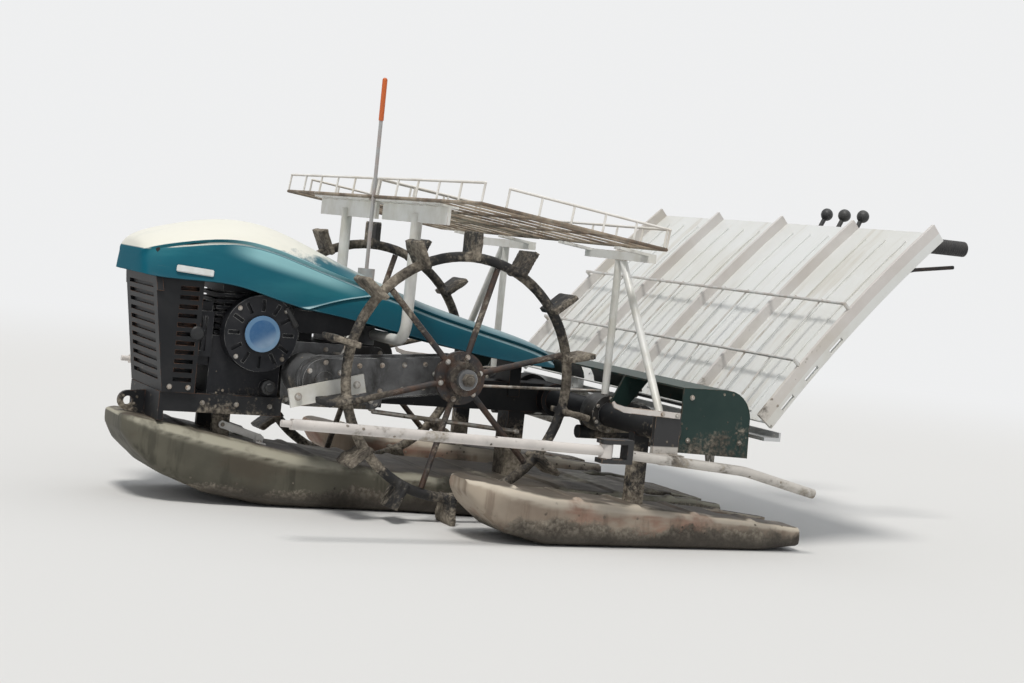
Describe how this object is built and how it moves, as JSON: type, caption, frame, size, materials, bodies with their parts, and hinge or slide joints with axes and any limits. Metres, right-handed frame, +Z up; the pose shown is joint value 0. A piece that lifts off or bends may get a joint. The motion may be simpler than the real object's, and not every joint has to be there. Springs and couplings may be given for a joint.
{
  "type": "rice transplanter",
  "caption": "Walk-behind rice transplanter with a long hood, lug wheels on swing arms, floats, spare seedling racks and a sloping seedling tray.",
  "frame": {"origin": "middle of the bounding box at the floor under the floats", "axes": "+X the way it travels, +Y its left side, +Z up"},
  "size_m": [2.14, 1.282, 0.996],
  "materials": {
    "hood": "gloss",
    "black_paint": "satin",
    "engine_paint": "matt",
    "exhaust": "matt",
    "bare_casting": "rough",
    "planting_alloy": "rough",
    "cover": "satin",
    "float_plastic": "matt",
    "wheel_rubber": "matt",
    "hub_steel": "satin",
    "white_plastic": "satin",
    "zinc": "satin",
    "white_paint": "gloss",
    "worn_paint": "worn",
    "grip_rubber": "matt",
    "console": "satin",
    "pole": "satin"
  },
  "bodies": {
    "machine": {"hood": "hood", "front_grille": "black_paint", "engine_bed": "black_paint", "main_beam": "black_paint", "drive_shaft": "black_paint", "float_links": "black_paint", "cross_pipe": "black_paint", "tray_stand": "black_paint", "handlebar": "black_paint", "clutch_levers": "black_paint", "engine": "engine_paint", "recoil_starter": "engine_paint", "air_cleaner": "engine_paint", "fuel_tank": "engine_paint", "muffler": "exhaust", "gearbox": "bare_casting", "gate_rail": "bare_casting", "planting_case_left": "bare_casting", "planting_case_right": "bare_casting", "planting_arms_left": "planting_alloy", "planting_arms_right": "planting_alloy", "planting_cover": "cover", "float_centre": "float_plastic", "float_left": "float_plastic", "float_right": "float_plastic", "pivot_plates": "white_paint", "rack_post_left": "white_paint", "rack_post_right": "white_paint", "rack_stay_left": "white_paint", "rack_stay_right": "white_paint", "rack_left": "white_paint", "rack_right": "white_paint", "rack_rails_left": "white_paint", "rack_rails_right": "white_paint", "side_frame_left": "worn_paint", "side_frame_right": "worn_paint", "grips": "grip_rubber", "control_box": "console", "centre_marker": "pole"},
    "arm_left": {"arm_left": "bare_casting"},
    "arm_right": {"arm_right": "bare_casting"},
    "wheel_left": {"wheel_left": "wheel_rubber", "hub_left": "hub_steel"},
    "wheel_right": {"wheel_right": "wheel_rubber", "hub_right": "hub_steel"},
    "tray": {"tray": "white_plastic", "lane_walls": "white_plastic", "tray_press": "zinc"},
    "marker_left": {"marker_left": "white_paint"},
    "marker_right": {"marker_right": "white_paint"}
  },
  "joints": [
    {"name": "arm_left_lift", "type": "hinge", "parent": "machine", "child": "arm_left", "pos_m": [0.67, 0.222, 0.299], "axis": [0, -1, 0], "range_deg": [0, 40]},
    {"name": "wheel_left_spin", "type": "hinge", "parent": "arm_left", "child": "wheel_left", "pos_m": [0.372, 0.3, 0.33], "axis": [0, 1, 0], "continuous": true},
    {"name": "arm_right_lift", "type": "hinge", "parent": "machine", "child": "arm_right", "pos_m": [0.67, -0.222, 0.299], "axis": [0, -1, 0], "range_deg": [0, 40]},
    {"name": "wheel_right_spin", "type": "hinge", "parent": "arm_right", "child": "wheel_right", "pos_m": [0.372, -0.3, 0.33], "axis": [0, 1, 0], "continuous": true},
    {"name": "marker_left_fold", "type": "hinge", "parent": "machine", "child": "marker_left", "pos_m": [0.163, 0.625, 0.222], "axis": [0, 0, 1], "range_deg": [0, 95]},
    {"name": "marker_right_fold", "type": "hinge", "parent": "machine", "child": "marker_right", "pos_m": [0.163, -0.625, 0.222], "axis": [0, 0, -1], "range_deg": [0, 95]},
    {"name": "tray_slide", "type": "slide", "parent": "machine", "child": "tray", "axis": [0, 1, 0], "range_m": [-0.14, 0.14]}
  ]
}
